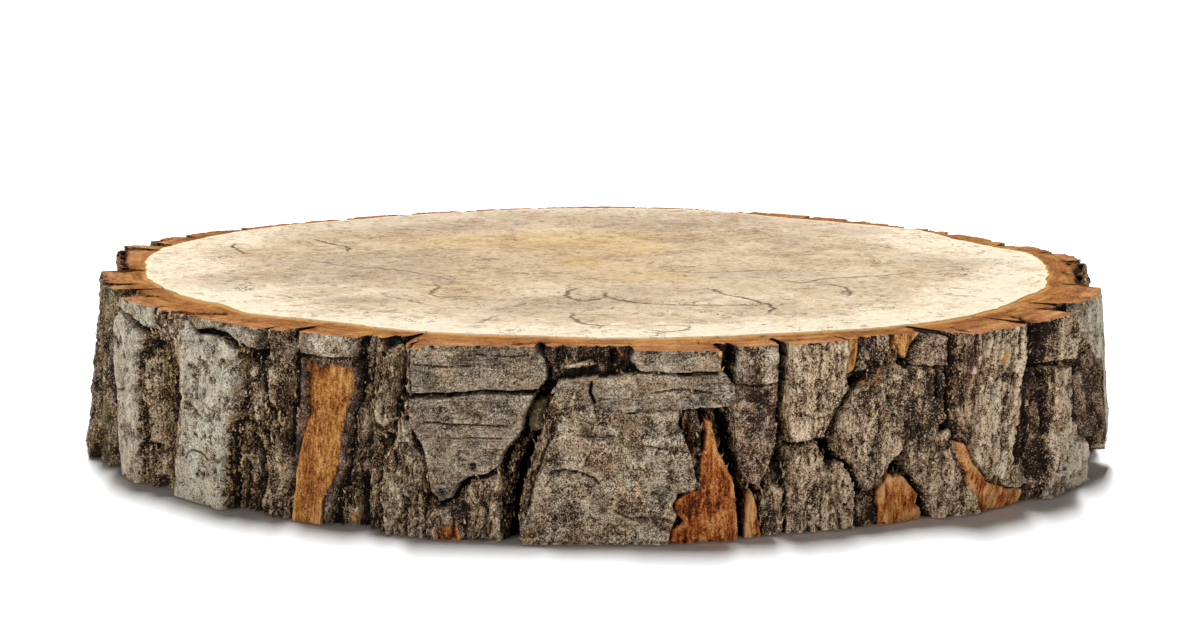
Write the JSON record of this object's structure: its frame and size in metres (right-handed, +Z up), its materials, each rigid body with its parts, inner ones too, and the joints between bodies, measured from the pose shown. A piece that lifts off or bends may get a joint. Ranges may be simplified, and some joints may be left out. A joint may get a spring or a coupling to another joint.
{
  "type": "wood slice",
  "caption": "Thick round slice sawn from a log, with smooth pale cut faces and a rugged bark rim of raised plates, furrows and bared inner bark.",
  "frame": {"origin": "middle of the slice on its lower saw cut", "axes": "+Z up along the trunk; -Y towards the face with the two broad grey bark plates"},
  "size_m": [0.3069, 0.2856, 0.052],
  "materials": {
    "wood": "matte, sanded saw cut",
    "inner_bark": "matte, fibrous",
    "bark": "matte, rough"
  },
  "bodies": {
    "root": {"wood_slice": "wood"}
  },
  "joints": []
}
